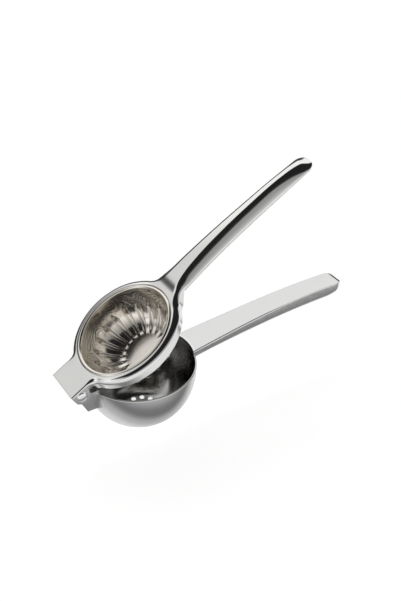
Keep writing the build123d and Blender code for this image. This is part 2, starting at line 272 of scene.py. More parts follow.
def object_from(shell, name, body, material, place=True):
    mesh = bpy.data.meshes.new(name)
    points = to_row(shell.points, body) if place else np.array(shell.points) * MM
    mesh.from_pydata(points.tolist(), [], shell.faces)
    build = bmesh.new()
    build.from_mesh(mesh)
    bmesh.ops.remove_doubles(build, verts=build.verts, dist=MERGE_DISTANCE * MM)
    bmesh.ops.dissolve_degenerate(build, edges=build.edges, dist=LEAST_EDGE * MM)
    bmesh.ops.recalc_face_normals(build, faces=build.faces)
    build.to_mesh(mesh)
    build.free()
    finish_mesh(mesh)
    mesh.materials.append(material)
    piece = bpy.data.objects.new(name, mesh)
    bpy.context.scene.collection.objects.link(piece)
    return piece


def belongs(piece, body, node):
    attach(piece, body)
    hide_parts(node)


def revolve(shell, profile, segments, about_y=False):
    """Turns a closed (radius, height) profile round z, or round y."""
    angles = np.linspace(0, 2 * pi, segments, endpoint=False)
    radius, height = np.array(profile, float).T
    ring = np.zeros((segments, len(profile), 3))
    side = 2 if about_y else 1
    ring[..., 0] = np.outer(np.cos(angles), radius)
    ring[..., side] = np.outer(np.sin(angles), radius)
    ring[..., 3 - side] = height
    shell.grid(ring, closed_rows=True)


def slab(shell, x, y, top, under):
    """A closed solid between two height fields over one (stations, across) grid."""
    upper = np.stack([x, y, top], -1)
    lower = np.stack([x, y, under], -1)
    shell.grid(upper)
    shell.grid(lower)
    for edge in ((slice(None), 0), (slice(None), -1), (0, slice(None)), (-1, slice(None))):
        shell.grid(np.stack([upper[edge], lower[edge]]))


# --- node trees -------------------------------------------------------------------------------------
def group_socket(tree, name, kind, direction, default=None):
    socket = tree.interface.new_socket(name=name, in_out=direction, socket_type=kind)
    if default is not None:
        socket.default_value = default


class NodeMaths:
    """Writes sums as nodes of a tree. A number is set on its socket, and anything else is linked."""

    def __init__(self, tree):
        self.nodes, self.links = tree.nodes, tree.links

    def feed(self, socket, source):
        if isinstance(source, (int, float)):
            socket.default_value = source
        else:
            self.links.new(source, socket)

    def __call__(self, operation, *sources):
        node = self.nodes.new("ShaderNodeMath")
        node.operation = operation
        for socket, source in zip(node.inputs, sources):
            self.feed(socket, source)
        return node.outputs["Value"]

    def step(self, value, low, high, before=0.0, after=1.0):
        """A smooth change from one value to another while the first goes from low to high."""
        node = self.nodes.new("ShaderNodeMapRange")
        node.interpolation_type = "SMOOTHSTEP"
        names = ("Value", "From Min", "From Max", "To Min", "To Max")
        for name, source in zip(names, (value, low, high, before, after)):
            self.feed(node.inputs[name], source)
        return node.outputs["Result"]


# --- steel finishes ---------------------------------------------------------------------------------
RUBBED_TONE = (0.93, 0.93, 0.92)
RUBBED_EDGES = (0.5, 0.56)  # of pointiness, from plain to fully rubbed
GRAIN_HEIGHT = 0.05
CLOUD_SCALE = 60.0
RUBBED_PATCH_SCALE = 300.0


def make_grain_group():
    """Fine polishing lines and faint cloudy patches, as two masks and a height."""
    tree = bpy.data.node_groups.new("polishing_grain", "ShaderNodeTree")
    group_socket(tree, "Line Scale", "NodeSocketVector", "INPUT", (1, 1, 1))
    group_socket(tree, "Patch Scale", "NodeSocketFloat", "INPUT", CLOUD_SCALE)
    group_socket(tree, "Lines", "NodeSocketFloat", "OUTPUT")
    group_socket(tree, "Patches", "NodeSocketFloat", "OUTPUT")
    nodes, links = tree.nodes, tree.links
    given = nodes.new("NodeGroupInput")
    result = nodes.new("NodeGroupOutput")
    place = nodes.new("ShaderNodeTexCoord")
    stretch = nodes.new("ShaderNodeMapping")
    lines = nodes.new("ShaderNodeTexNoise")
    lines.inputs["Scale"].default_value = 1.0
    lines.inputs["Detail"].default_value = 3.0
    patches = nodes.new("ShaderNodeTexNoise")
    patches.inputs["Detail"].default_value = 2.0
    links.new(place.outputs["Object"], stretch.inputs["Vector"])
    links.new(given.outputs["Line Scale"], stretch.inputs["Scale"])
    links.new(stretch.outputs["Vector"], lines.inputs["Vector"])
    links.new(place.outputs["Object"], patches.inputs["Vector"])
    links.new(given.outputs["Patch Scale"], patches.inputs["Scale"])
    links.new(lines.outputs["Fac"], result.inputs["Lines"])
    links.new(patches.outputs["Fac"], result.inputs["Patches"])
    return tree


def make_wear_group():
    """Rubbed edges: a mask that is 1 on edges, broken up by noise."""
    tree = bpy.data.node_groups.new("rubbed_edges", "ShaderNodeTree")
    group_socket(tree, "Patch Scale", "NodeSocketFloat", "INPUT", RUBBED_PATCH_SCALE)
    group_socket(tree, "Mask", "NodeSocketFloat", "OUTPUT")
    nodes, links = tree.nodes, tree.links
    given = nodes.new("NodeGroupInput")
    result = nodes.new("NodeGroupOutput")
    shape = nodes.new("ShaderNodeNewGeometry")
    edge = nodes.new("ShaderNodeMapRange")
    edge.inputs["From Min"].default_value, edge.inputs["From Max"].default_value = RUBBED_EDGES
    place = nodes.new("ShaderNodeTexCoord")
    noise = nodes.new("ShaderNodeTexNoise")
    links.new(shape.outputs["Pointiness"], edge.inputs["Value"])
    links.new(place.outputs["Object"], noise.inputs["Vector"])
    links.new(given.outputs["Patch Scale"], noise.inputs["Scale"])
    mask = NodeMaths(tree)("MULTIPLY", edge.outputs["Result"], noise.outputs["Fac"])
    links.new(mask, result.inputs["Mask"])
    return tree


GRAIN = make_grain_group()
RUBBED = make_wear_group()


def steel(name, tones, roughness, line_scale, bump):
    """Stainless steel between two tones and two roughnesses, with polishing lines along an axis."""
    material = bpy.data.materials.new(name)
    material.use_nodes = True
    nodes, links = material.node_tree.nodes, material.node_tree.links
    shader = nodes["Principled BSDF"]
    shader.inputs["Metallic"].default_value = 1.0
    grain = nodes.new("ShaderNodeGroup")
    grain.node_tree = GRAIN
    grain.inputs["Line Scale"].default_value = line_scale
    grain.inputs["Patch Scale"].default_value = CLOUD_SCALE
    tone = nodes.new("ShaderNodeMix")
    tone.data_type = "RGBA"
    tone.inputs["A"].default_value = (*tones[0], 1)
    tone.inputs["B"].default_value = (*tones[1], 1)
    rubbed = nodes.new("ShaderNodeGroup")
    rubbed.node_tree = RUBBED
    worn = nodes.new("ShaderNodeMix")
    worn.data_type = "RGBA"
    worn.inputs["B"].default_value = (*RUBBED_TONE, 1)
    gloss = nodes.new("ShaderNodeMapRange")
    gloss.inputs["To Min"].default_value = roughness[0]
    gloss.inputs["To Max"].default_value = roughness[1]
    relief = nodes.new("ShaderNodeBump")
    relief.inputs["Strength"].default_value = bump
    relief.inputs["Distance"].default_value = GRAIN_HEIGHT * MM
    links.new(grain.outputs["Patches"], tone.inputs["Factor"])
    links.new(tone.outputs["Result"], worn.inputs["A"])
    links.new(rubbed.outputs["Mask"], worn.inputs["Factor"])
    links.new(worn.outputs["Result"], shader.inputs["Base Color"])
    links.new(grain.outputs["Lines"], gloss.inputs["Value"])
    links.new(gloss.outputs["Result"], shader.inputs["Roughness"])
    links.new(grain.outputs["Lines"], relief.inputs["Height"])
    links.new(relief.outputs["Normal"], shader.inputs["Normal"])
    return material


FRAME_STEEL = steel(
    "frame_steel", ((0.84, 0.84, 0.825), (0.88, 0.88, 0.87)), (0.10, 0.14), (150, 1200, 150), 0.006
)
CUP_STEEL = steel(
    "cup_steel", ((0.82, 0.78, 0.72), (0.90, 0.86, 0.80)), (0.13, 0.17), (300, 300, 900), 0.004
)
BOWL_STEEL = steel(
    "bowl_steel", ((0.66, 0.66, 0.66), (0.70, 0.70, 0.70)), (0.20, 0.24), (300, 300, 1800), 0.01
)
# a darker copy of the bowl's steel for its inside, with its own gloss and grain; the darkness is painted
# shade in the hollow
BOWL_INSIDE_SHADED_STEEL = steel(
    "bowl_inside_shaded_steel", ((0.42, 0.42, 0.42), (0.52, 0.52, 0.51)), (0.12, 0.20), (400, 400, 4000), 0.02
)
# a darker copy of the steel for the handles' sides and undersides: painted shade where they face sideways and
# down
SHADED_SIDE_STEEL = steel(
    "handle_side_shaded_steel", ((0.54, 0.54, 0.54), (0.58, 0.58, 0.575)), (0.20, 0.24), (80, 900, 900), 0.006
)
COVER_STEEL = steel(
    "handle_cover_steel", ((0.71, 0.715, 0.715), (0.74, 0.745, 0.74)), (0.08, 0.11), (60, 900, 900), 0.004
)
RIVET_STEEL = steel(
    "rivet_steel", ((0.92, 0.92, 0.92), (0.97, 0.97, 0.97)), (0.12, 0.18), (1500, 1500, 1500), 0.01
)


def add_painted_flute_reflections(material):
    """Painted reflections of the flutes: dark wavy lines painted into the colour of the cup's upper wall."""
    nodes, links = material.node_tree.nodes, material.node_tree.links
    maths = NodeMaths(material.node_tree)
    base = nodes["Principled BSDF"].inputs["Base Color"]
    plain = base.links[0].from_socket
    axis = Vector((-sin(OPEN_ANGLE), 0, cos(OPEN_ANGLE)))
    place = nodes.new("ShaderNodeTexCoord")
    along = nodes.new("ShaderNodeVectorMath")
    along.operation = "DOT_PRODUCT"
    along.inputs[1].default_value = axis
    noise = nodes.new("ShaderNodeTexNoise")
    noise.inputs["Scale"].default_value = 70.0
    noise.inputs["Detail"].default_value = 1.0
    links.new(place.outputs["Object"], along.inputs[0])
    links.new(place.outputs["Object"], noise.inputs["Vector"])
    height = maths("SUBTRACT", along.outputs["Value"], HINGE.dot(axis))
    wavy = maths("ADD", height, maths("MULTIPLY", noise.outputs["Fac"], REFLECTION_LINE_SWING * MM))
    wave = maths("SINE", maths("MULTIPLY", wavy, 2 * pi / (REFLECTION_LINE_STEP * MM)))
    bottom, top = (np.array(edges) * MM for edges in (REFLECTION_LINES_BOTTOM, REFLECTION_LINES_TOP))
    on_wall = maths("MULTIPLY", maths.step(height, *bottom), maths.step(height, *top, 1.0, 0.0))
    # where the painted reflection lines fall on the upper wall
    line = maths("MULTIPLY", maths.step(wave, *REFLECTION_LINE_EDGES), on_wall)
    reflection_painted = nodes.new("ShaderNodeMix")
    reflection_painted.data_type = "RGBA"
    reflection_painted.inputs["B"].default_value = (*PAINTED_REFLECTION_TONE, 1)
    links.new(line, reflection_painted.inputs["Factor"])
    links.new(plain, reflection_painted.inputs["A"])
    links.new(reflection_painted.outputs["Result"], base)


# paints the flutes' reflections into the cup's upper wall
add_painted_flute_reflections(CUP_STEEL)


# --- the handles' plan ------------------------------------------------------------------------------
def half_width(x):
    """Of both handles, before the tip is rounded off."""
    share = np.clip((HANDLE_END - np.asarray(x, float)) / (HANDLE_END - HANDLE_ROOT), 0, None)
    return HANDLE_END_HALF_WIDTH + HANDLE_WIDENING * share**HANDLE_WIDENING_POWER


def rounded_half_width(x, tip_radius):
    into_tip = np.clip((np.asarray(x, float) - (HANDLE_TIP - tip_radius)) / tip_radius, 0, 1)
    return half_width(x) - tip_radius * (1 - np.sqrt(1 - into_tip**2))


def from_handle_edge(x, y, tip_radius):
    """Distance in from a handle's outline."""
    to_side = half_width(x) - np.abs(y)
    to_tip = HANDLE_TIP - np.asarray(x, float)
    in_corner = (to_side < tip_radius) & (to_tip < tip_radius)
    corner = tip_radius - np.hypot(tip_radius - to_side, tip_radius - to_tip)
    return np.clip(np.where(in_corner, corner, np.minimum(to_side, to_tip)), 0, None)


def stations(start, tip_radius, step=1.0):
    straight = np.arange(start, HANDLE_TIP - tip_radius, step)
    return np.concatenate([straight, HANDLE_TIP - tip_radius * (1 - crowded(24))])


def handle_grid(start, tip_radius, half_count=30):
    """Cross lines from a start to the tip, as x and y arrays."""
    x = stations(start, tip_radius)
    share = across(half_count)
    return np.repeat(x[:, None], len(share), 1), rounded_half_width(x, tip_radius)[:, None] * share


# --- heights of the press arm -----------------------------------------------------------------------
upper_crest = curve_through(
    [
        (70, 5.0),
        (75, 5.05),
        (80, 5.7),
        (86, 7.6),
        (95, 9.3),
        (108, 10.5),
        (127, 11.1),
        (150, 10.8),
        (175, 9.5),
        (188, 7.6),
        (198, 4.6),
    ]
)
upper_under = curve_through([(80, 2.4), (95, 3.3), (118, 3.9), (145, 3.5), (175, 2.4), (198, 2.0)])
upper_edge_radius = curve_through(
    [(76, 4.1), (80, 4.4), (90, 6.0), (105, 6.9), (127, 7.1), (150, 7.0), (175, 6.8), (198, 6.5)]
)


def crest(x):
    before_handle = PLATE_TOP + (RING_TOP - PLATE_TOP) * smooth_step(*PLATE_TO_RING, x)
    return np.where(x < CREST_START, before_handle, upper_crest(x))


def edge_radius(x):
    at_end, along_side = PLATE_EDGE_RADII
    on_plate = at_end + (along_side - at_end) * smooth_step(PLATE_END, PLATE_END + 1, x)
    ring = on_plate + (RING_EDGE_RADIUS - on_plate) * smooth_step(*PLATE_EDGE_TO_RING, x)
    return np.where(x < HANDLE_EDGE_START, ring, upper_edge_radius(x))


def upper_seam(x):
    return upper_under(x) + COVER_THICKNESS + COVER_GAP


def edge_height(x):
    into_handle = smooth_step(*SKIRT_RUN_OUT, x)
    low = np.minimum(edge_radius(x), RING_EDGE_RADIUS + RING_EDGE_GROWTH) * RING_EDGE_DROP
    return low + (crest(x) - upper_seam(x) - low) * into_handle


def frame_under(x):
    """Lower edge of the press frame's wall along its outline."""
    beside_ears = EAR_REACH + EAR_CLEARANCE
    low = np.where(x < beside_ears, PLATE_UNDER, np.where(x < NOTCH_END, EAR_SHOULDER, SKIRT_BOTTOM))
    rise = np.clip((x - SKIRT_RUN_OUT[0]) / (SKIRT_RUN_OUT[1] - SKIRT_RUN_OUT[0]), 0, 1)
    return low + (upper_seam(x) - SKIRT_BOTTOM) * rise


def frame_outline():
    """Half of the press frame's plan, from the middle of the plate's end to the handle's tip."""
    ring = (BOWL_AXIS, 0.0)
    corner = (PLATE_END + PLATE_CORNER_RADIUS, PLATE_HALF_WIDTH - PLATE_CORNER_RADIUS)
    points = [(PLATE_END, y) for y in np.linspace(0, corner[1], 24, endpoint=False)]
    points += arc(corner, PLATE_CORNER_RADIUS, pi, pi / 2, 7)
    flare_y = PLATE_HALF_WIDTH + PLATE_FLARE_RADIUS
    flare_x = BOWL_AXIS - sqrt((RING_OUTER_RADIUS + PLATE_FLARE_RADIUS) ** 2 - flare_y**2)
    points += [(x, PLATE_HALF_WIDTH) for x in np.linspace(corner[0] + 0.5, flare_x - 0.3, 18)]
    touch = atan2(flare_y, flare_x - BOWL_AXIS)
    points += arc((flare_x, flare_y), PLATE_FLARE_RADIUS, -pi / 2, touch - pi, 26)
    steep = sqrt(1 + half_width_slope(NECK_SLOPE_AT) ** 2)

    def miss(x):
        side_y = half_width(x) + NECK_FLARE_RADIUS * steep
        return hypot(x - BOWL_AXIS, side_y) - RING_OUTER_RADIUS - NECK_FLARE_RADIUS

    low, high = NECK_SEARCH
    for _ in range(50):
        middle = (low + high) / 2
        low, high = (middle, high) if miss(middle) < 0 else (low, middle)
    neck = (low, float(half_width(low)) + NECK_FLARE_RADIUS * steep)
    leave = atan2(neck[1], neck[0] - BOWL_AXIS)
    points += arc(ring, RING_OUTER_RADIUS, touch, leave, 92)[1:]
    down = -pi / 2 + float(np.arctan(half_width_slope(low)))
    neck_arc = arc(neck, NECK_FLARE_RADIUS, leave - pi, down, 40)[1:]
    handle_x = stations(neck_arc[-1][0] + 0.8, UPPER_TIP_RADIUS)
    points += neck_arc + list(zip(handle_x, rounded_half_width(handle_x, UPPER_TIP_RADIUS)))
    return np.array(points)


def half_width_slope(x):
    return float(half_width(x + 0.5) - half_width(x - 0.5))


def nearest_distance(points, outline):
    """Distance from each (x, y) point to a closed outline of short straight steps."""
    start, stop = outline, np.roll(outline, -1, 0)
    step = stop - start
    length = np.maximum((step**2).sum(1), 1e-12)
    result = []
    for chunk in np.array_split(points, max(1, len(points) // 400)):
        offset = chunk[:, None] - start[None]
        share = np.clip((offset * step).sum(2) / length, 0, 1)
        result.append(np.linalg.norm(offset - share[..., None] * step, axis=2).min(1))
    return np.concatenate(result)


def make_press_frame():
    half = frame_outline()
    outline = np.concatenate([half, half[::-1][:-1] * (1, -1)])

    def top_height(x, y):
        flat = np.stack([x.ravel(), y.ravel()], 1)
        inward = nearest_distance(flat, outline).reshape(x.shape)
        from_bore = np.hypot(x - BOWL_AXIS, y) - RING_BORE_RADIUS
        round_edge = rounding(inward, edge_radius(x), edge_height(x))
        handle_edge = shoulder(inward, edge_radius(x), edge_height(x))
        lowered = crest(x) - round_edge - (handle_edge - round_edge) * smooth_step(*SECTION_CHANGE, x)
        return lowered - rounding(np.clip(from_bore, 0, None), BORE_EDGE_RADIUS, BORE_EDGE_RADIUS)

    first_cross = int(np.argmax(half[:, 0] >= NECK_START))
    cross_x, cross_y = half[first_cross]
    share = across(30)
    ring_side = half[: first_cross + 1]
    neck_line = np.stack([np.full(len(share), cross_x), cross_y * share[::-1]], 1)
    outer = np.concatenate([ring_side, neck_line[1:-1], ring_side[::-1][:-1] * (1, -1)])
    on_neck = np.zeros(len(outer), bool)
    on_neck[first_cross : first_cross + len(share)] = True

    # rays from the ring's bore to the outline: top, then the wall, the underside and the cup's seat
    direction = outer - (BOWL_AXIS, 0)
    length = np.linalg.norm(direction, axis=1)
    direction = direction / length[:, None]
    reach = np.array([0, 0.04, 0.1, 0.18, 0.27, 0.4])
    rest = crowded(30)[1:]
    near_bore = np.repeat(RING_BORE_RADIUS + reach[None], len(outer), 0)
    beyond = RING_BORE_RADIUS + reach[-1] + (length[:, None] - RING_BORE_RADIUS - reach[-1]) * rest[None]
    radii = np.concatenate([near_bore, beyond], 1)
    x = BOWL_AXIS + radii * direction[:, :1]
    y = radii * direction[:, 1:]
    top = np.stack([x, y, top_height(x, y)], -1)
    shell = Shell()
    shell.grid(top, closed_rows=True)

    low_edge = frame_under(outer[:, 0])
    skirt = np.where(outer[:, 0] < NOTCH_END, EAR_SHOULDER, np.minimum(low_edge, SKIRT_BOTTOM))
    skirt_radius = np.minimum(length, RING_OUTER_RADIUS)
    chain = [
        (length, low_edge),
        (skirt_radius, low_edge),
        (skirt_radius, skirt),
        (SKIRT_INNER_RADIUS, skirt),
        (SKIRT_INNER_RADIUS, LEDGE_UNDER),
        (LEDGE_RADIUS, LEDGE_UNDER),
        (LEDGE_RADIUS, LEDGE_TOP),
        (RING_BORE_RADIUS, LEDGE_TOP),
        (RING_BORE_RADIUS, top[:, 0, 2]),
    ]
    below = np.zeros((len(outer), len(chain), 3))
    for column, (radius, height) in enumerate(chain):
        below[:, column, 0] = BOWL_AXIS + radius * direction[:, 0]
        below[:, column, 1] = radius * direction[:, 1]
        below[:, column, 2] = height
    shell.grid(below, closed_rows=True)
    count = len(outer)
    for i in range(count):
        k = (i + 1) % count
        if not (on_neck[i] and on_neck[k]):
            shell.polygon([top[i, -1], top[k, -1], below[k, 0], below[i, 0]])

    # cross lines of the handle
    side = half[first_cross:]
    x = np.repeat(side[:, :1], len(share), 1)
    y = side[:, 1:] * share
    upper = np.stack([x, y, top_height(x, y)], -1)
    lower = np.stack([x, y, frame_under(x)], -1)
    shell.grid(upper)
    shell.grid(lower)
    for edge in ((slice(None), 0), (slice(None), -1), (-1, slice(None))):
        shell.grid(np.stack([upper[edge], lower[edge]]))

    for hand in (-1, 1):
        add_ear(shell, hand)
    piece = object_from(shell, "press_ring_and_handle", "press_arm", FRAME_STEEL)
    belongs(piece, "press_arm", "press_frame")


def add_ear(shell, hand):
    """A tab folded down from the plate's side, with eased edges."""
    start = pi + acos(-PLATE_END / EAR_RADIUS)
    outline = [(PLATE_END, PLATE_UNDER)]
    outline += arc((0, 0), EAR_RADIUS, start, 2 * pi + EAR_BACK_ANGLE, 40)
    outline += [(EAR_REACH, EAR_SHOULDER), (EAR_REACH, PLATE_UNDER)]
    outline = np.array(outline)
    ease = EAR_EDGE_EASE
    outward = outline - EAR_MIDDLE
    inset = outline - outward / np.linalg.norm(outward, axis=1)[:, None] * ease
    inset[0] = outline[0] + (ease, 0)
    inset[-1] = outline[-1] - (ease, 0)
    near, far = PLATE_HALF_WIDTH, PLATE_HALF_WIDTH - EAR_THICKNESS
    layers = []
    for plan, offset in ((inset, near), (outline, near - ease), (outline, far + ease), (inset, far)):
        layers.append(np.stack([plan[:, 0], np.full(len(plan), hand * offset), plan[:, 1]], 1))
    shell.grid(np.stack(layers, 1), closed_rows=True)
    shell.polygon(layers[0])
    shell.polygon(layers[-1])


def make_upper_cover():
    x, y = handle_grid(SKIRT_RUN_OUT[1], UPPER_TIP_RADIUS)
    inward = from_handle_edge(x, y, UPPER_TIP_RADIUS)
    under = upper_under(x) + rounding(inward, COVER_EDGE_RADIUS, COVER_EDGE_RADIUS)
    shell = Shell()
    slab(shell, x, y, upper_under(x) + COVER_THICKNESS, under)
    # the handle's underside gets the darker copy of the steel: painted shade
    piece = object_from(shell, "upper_handle_underside", "press_arm", SHADED_SIDE_STEEL)
    belongs(piece, "press_arm", "upper_handle_cover")


# --- the press cup ----------------------------------------------------------------------------------
def cup_wall_profile(inset, count):
    """The cup's wall from the lip's underside down to the floor's edge, as (radius, height)."""
    reach = CUP_INNER_RADIUS + CUP_WALL - CUP_FLOOR_RADIUS - inset
    drop = CUP_DEPTH + CUP_WALL - inset
    return [
        (CUP_FLOOR_RADIUS + reach * cos(a), CUP_TOP - drop * sin(a)) for a in np.linspace(0, pi / 2, count)
    ]


def make_flute_nodes():
    """Presses flutes into a cup: its wall moves out along grooves between a depth and the floor."""
    tree = bpy.data.node_groups.new("cup_flutes", "GeometryNodeTree")
    group_socket(tree, "Geometry", "NodeSocketGeometry", "INPUT")
    group_socket(tree, "Count", "NodeSocketFloat", "INPUT", float(FLUTE_COUNT))
    group_socket(tree, "Height", "NodeSocketFloat", "INPUT", FLUTE_HEIGHT * MM)
    group_socket(tree, "Width", "NodeSocketFloat", "INPUT", FLUTE_WIDTH)
    group_socket(tree, "Top", "NodeSocketFloat", "INPUT", CUP_TOP * MM)
    group_socket(tree, "Start", "NodeSocketFloat", "INPUT", FLUTE_START * MM)
    group_socket(tree, "Floor Radius", "NodeSocketFloat", "INPUT", CUP_FLOOR_RADIUS * MM)
    group_socket(tree, "Material", "NodeSocketMaterial", "INPUT")
    group_socket(tree, "Geometry", "NodeSocketGeometry", "OUTPUT")
    nodes, links = tree.nodes, tree.links
    given = nodes.new("NodeGroupInput")
    result = nodes.new("NodeGroupOutput")
    place = nodes.new("GeometryNodeInputPosition")
    parts = nodes.new("ShaderNodeSeparateXYZ")
    links.new(place.outputs["Position"], parts.inputs["Vector"])

    maths = NodeMaths(tree)
    x, y, z = parts.outputs
    angle = maths("ARCTAN2", y, x)
    wave = maths("COSINE", maths("MULTIPLY", angle, given.outputs["Count"]))
    crossing = maths("MULTIPLY", maths("ADD", wave, 1.0), 0.5)
    depth = maths("SUBTRACT", given.outputs["Top"], z)
    radius = maths("SQRT", maths("ADD", maths("MULTIPLY", x, x), maths("MULTIPLY", y, y)))
    start, floor_edge = given.outputs["Start"], given.outputs["Floor Radius"]
    below_top = maths.step(depth, start, maths("ADD", start, FLUTE_FADE_IN * MM))
    fade = [maths("ADD", floor_edge, edge * MM) for edge in FLUTE_FADE_OUT]
    off_floor = maths.step(radius, *fade)
    along = maths("MULTIPLY", below_top, off_floor)
    narrow = maths("SUBTRACT", 1.0, maths("MAXIMUM", maths("MULTIPLY", along, given.outputs["Width"]), 0.01))
    groove = maths.step(crossing, narrow, 1.0)
    amount = maths("MULTIPLY", maths("MULTIPLY", groove, given.outputs["Height"]), along)
    outward = maths("SUBTRACT", radius, floor_edge)
    safe_radius = maths("MAXIMUM", radius, 0.1 * MM)
    aim = nodes.new("ShaderNodeCombineXYZ")
    links.new(maths("DIVIDE", maths("MULTIPLY", x, outward), safe_radius), aim.inputs["X"])
    links.new(maths("DIVIDE", maths("MULTIPLY", y, outward), safe_radius), aim.inputs["Y"])
    links.new(maths("MULTIPLY", depth, -1.0), aim.inputs["Z"])
    unit = nodes.new("ShaderNodeVectorMath")
    unit.operation = "NORMALIZE"
    links.new(aim.outputs["Vector"], unit.inputs[0])
    shift = nodes.new("ShaderNodeVectorMath")
    shift.operation = "SCALE"
    links.new(unit.outputs["Vector"], shift.inputs[0])
    links.new(amount, shift.inputs["Scale"])
    move = nodes.new("GeometryNodeSetPosition")
    links.new(given.outputs["Geometry"], move.inputs["Geometry"])
    links.new(shift.outputs["Vector"], move.inputs["Offset"])
    realize = nodes.new("GeometryNodeRealizeInstances")
    paint = nodes.new("GeometryNodeSetMaterial")
    links.new(move.outputs["Geometry"], realize.inputs["Geometry"])
    links.new(realize.outputs["Geometry"], paint.inputs["Geometry"])
    links.new(given.outputs["Material"], paint.inputs["Material"])
    links.new(paint.outputs["Geometry"], result.inputs["Geometry"])
    return tree


def grown(base, tree, name, values, sharp_angle=SHARP_ANGLE):
    """The plain mesh that a node tree makes from a base object, which is then removed."""
    modifier = base.modifiers.new(tree.name, "NODES")
    modifier.node_group = tree
    for item in tree.interface.items_tree:
        if item.in_out == "INPUT" and item.name in values:
            modifier[item.identifier] = values[item.name]
    view = bpy.context.evaluated_depsgraph_get()
    mesh = bpy.data.meshes.new_from_object(base.evaluated_get(view))
    bpy.data.objects.remove(base)
    mesh.name = name
    finish_mesh(mesh, sharp_angle)
    piece = bpy.data.objects.new(name, mesh)
    bpy.context.scene.collection.objects.link(piece)
    return piece


def place_in_arm(piece, body, x):
    """Moves a mesh drawn about its own upright axis to its place along an arm."""
    turn = Matrix.Rotation(-LEAN[body], 4, "Y")
    piece.data.transform(Matrix.Translation(HINGE) @ turn @ Matrix.Translation((x * MM, 0, 0)))


def make_press_cup():
    inner = cup_wall_profile(CUP_WALL, 74)
    outer = cup_wall_profile(0, 56)
    lip_middle = (CUP_INNER_RADIUS + CUP_OUTER_RADIUS) / 2
    lip = [
        (CUP_OUTER_RADIUS - (CUP_OUTER_RADIUS - lip_middle) * (1 - cos(a)), CUP_LIP_TOP - 1.1 * (1 - sin(a)))
        for a in np.linspace(0, pi, 25)
    ]
    start = next(i for i, point in enumerate(inner) if point[1] < CUP_LIP_TOP - 1.1)
    low = [point for point in outer if point[1] < LEDGE_TOP]
    floor_under = [(r, outer[-1][1]) for r in np.linspace(CUP_FLOOR_RADIUS, 0, 12)[1:]]
    floor_top = [(r, inner[-1][1]) for r in np.linspace(0, CUP_FLOOR_RADIUS, 12)[:-1]]
    profile = floor_under[::-1] + low[::-1]
    profile += [(low[0][0], LEDGE_TOP), (CUP_OUTER_RADIUS, LEDGE_TOP)]
    profile += lip + inner[start:] + floor_top[::-1]
    shell = Shell()
    revolve(shell, profile, 480)
    base = object_from(shell, "cup_blank", "press_arm", CUP_STEEL, place=False)
    piece = grown(base, make_flute_nodes(), "fluted_cup", {"Material": CUP_STEEL}, CUP_SHARP_ANGLE)
    place_in_arm(piece, "press_arm", BOWL_AXIS)
    belongs(piece, "press_arm", "press_cup")


# --- the bowl ---------------------------------------------------------------------------------------
def make_strainer_nodes():
    """Bores two rings of round holes through a bowl."""
    tree = bpy.data.node_groups.new("strainer_holes", "GeometryNodeTree")
    group_socket(tree, "Geometry", "NodeSocketGeometry", "INPUT")
    group_socket(tree, "Hole Radius", "NodeSocketFloat", "INPUT", STRAINER_HOLE_RADIUS * MM)
    for number in range(len(STRAINER_RINGS)):
        group_socket(tree, f"Ring {number} Radius", "NodeSocketFloat", "INPUT", 5 * MM)
        group_socket(tree, f"Ring {number} Count", "NodeSocketInt", "INPUT", 6)
    group_socket(tree, "Material", "NodeSocketMaterial", "INPUT")
    group_socket(tree, "Geometry", "NodeSocketGeometry", "OUTPUT")
    nodes, links = tree.nodes, tree.links
    given = nodes.new("NodeGroupInput")
    result = nodes.new("NodeGroupOutput")
    punch = nodes.new("GeometryNodeMeshCylinder")
    punch.inputs["Vertices"].default_value = STRAINER_HOLE_SIDES
    punch.inputs["Depth"].default_value = BOWL_DEPTH * MM
    links.new(given.outputs["Hole Radius"], punch.inputs["Radius"])
    gather = nodes.new("GeometryNodeJoinGeometry")
    for number in range(len(STRAINER_RINGS)):
        ring = nodes.new("GeometryNodeMeshCircle")
        stamp = nodes.new("GeometryNodeInstanceOnPoints")
        links.new(given.outputs[f"Ring {number} Radius"], ring.inputs["Radius"])
        links.new(given.outputs[f"Ring {number} Count"], ring.inputs["Vertices"])
        links.new(ring.outputs["Mesh"], stamp.inputs["Points"])
        links.new(punch.outputs["Mesh"], stamp.inputs["Instance"])
        links.new(stamp.outputs["Instances"], gather.inputs["Geometry"])
    punches = nodes.new("GeometryNodeRealizeInstances")
    bore = nodes.new("GeometryNodeMeshBoolean")
    bore.operation = "DIFFERENCE"
    realize = nodes.new("GeometryNodeRealizeInstances")
    paint = nodes.new("GeometryNodeSetMaterial")
    links.new(gather.outputs["Geometry"], punches.inputs["Geometry"])
    links.new(given.outputs["Geometry"], bore.inputs["Mesh 1"])
    links.new(punches.outputs["Geometry"], bore.inputs["Mesh 2"])
    links.new(bore.outputs["Mesh"], realize.inputs["Geometry"])
    links.new(realize.outputs["Geometry"], paint.inputs["Geometry"])
    links.new(given.outputs["Material"], paint.inputs["Material"])
    links.new(paint.outputs["Geometry"], result.inputs["Geometry"])
    return tree


def bowl_wall_profile(inset, count):
    """The bowl's wall from the rim down to the edge of its flat bottom, above that bottom."""
    reach = BOWL_OUTER_RADIUS - BOWL_BASE_RADIUS - inset
    return [
        (BOWL_BASE_RADIUS + reach * cos(a), BOWL_DEPTH - (BOWL_DEPTH - inset) * sin(a))
        for a in np.linspace(0, pi / 2, count)
    ]


